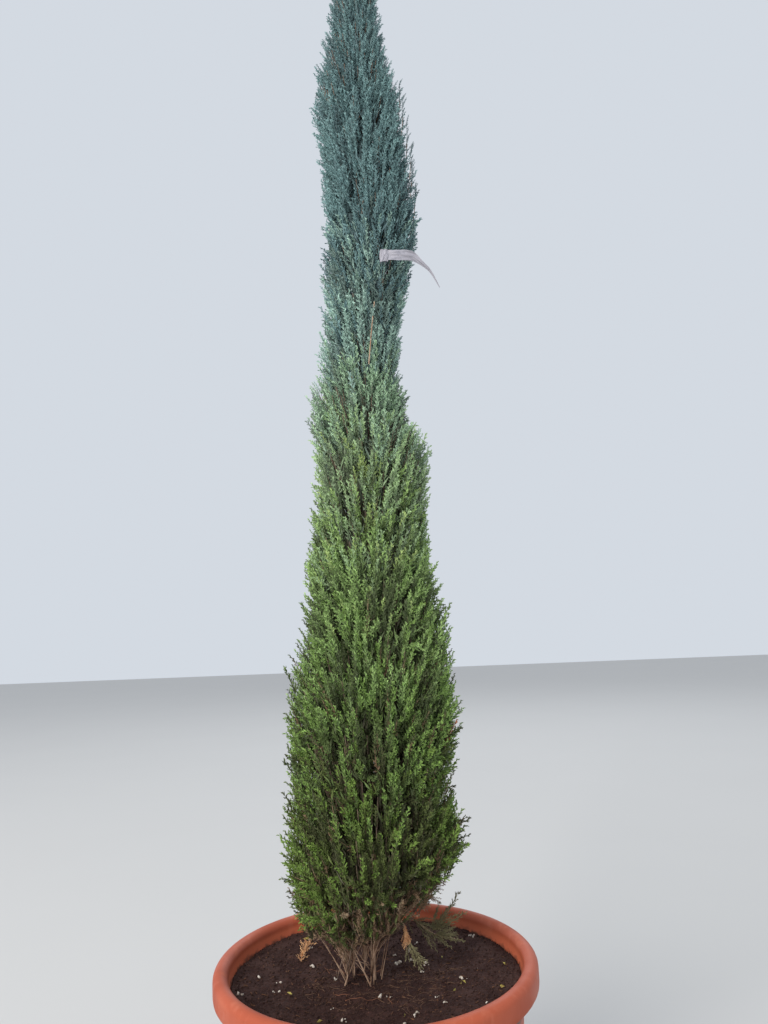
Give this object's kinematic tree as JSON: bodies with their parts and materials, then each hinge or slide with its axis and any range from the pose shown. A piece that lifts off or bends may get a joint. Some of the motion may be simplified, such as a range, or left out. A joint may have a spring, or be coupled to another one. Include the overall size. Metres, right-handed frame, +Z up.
{
  "type": "potted cypress tree",
  "caption": "Slim, upright column-shaped cypress with fine scale-leaf sprays from near the soil to its tip, in a wide terracotta-coloured plastic tub of compost.",
  "frame": {"origin": "centre of the tub's underside, on the ground", "axes": "+Z up the tree, -Y towards a viewer in front, +X to that viewer's right"},
  "size_m": [0.5, 0.5, 2.326],
  "materials": {
    "terracotta": "satin",
    "compost": "matte",
    "bark": "matte",
    "foliage": "matte",
    "dead_foliage": "matte",
    "label": "satin"
  },
  "bodies": {
    "root": {"tub": "terracotta", "compost": "compost", "trunk": "bark", "basal_stem_1": "bark", "basal_stem_2": "bark", "basal_stem_3": "bark", "basal_stem_4": "bark", "basal_stem_5": "bark", "basal_stem_6": "bark", "foliage_1_1": "foliage", "foliage_1_2": "foliage", "foliage_1_3": "foliage", "foliage_1_4": "foliage", "foliage_1_5": "foliage", "foliage_1_6": "foliage", "foliage_2_1": "foliage", "foliage_2_2": "foliage", "foliage_2_3": "foliage", "foliage_2_4": "foliage", "foliage_2_5": "foliage", "foliage_3_1": "foliage", "foliage_3_2": "foliage", "foliage_3_3": "foliage", "foliage_3_4": "foliage", "foliage_4_1": "foliage", "foliage_4_2": "foliage", "foliage_4_3": "foliage", "foliage_4_4": "foliage", "foliage_5_1": "foliage", "foliage_5_2": "foliage", "foliage_5_3": "foliage", "foliage_6_1": "foliage", "foliage_6_2": "foliage", "foliage_6_3": "foliage", "foliage_7_1": "foliage", "foliage_7_2": "foliage", "foliage_7_3": "foliage", "foliage_8_1": "foliage", "foliage_8_2": "foliage", "foliage_9_1": "foliage", "foliage_9_2": "foliage", "drooping_branch": "foliage", "hanging_dead_sprig": "dead_foliage", "plant_label": "label"}
  },
  "joints": []
}
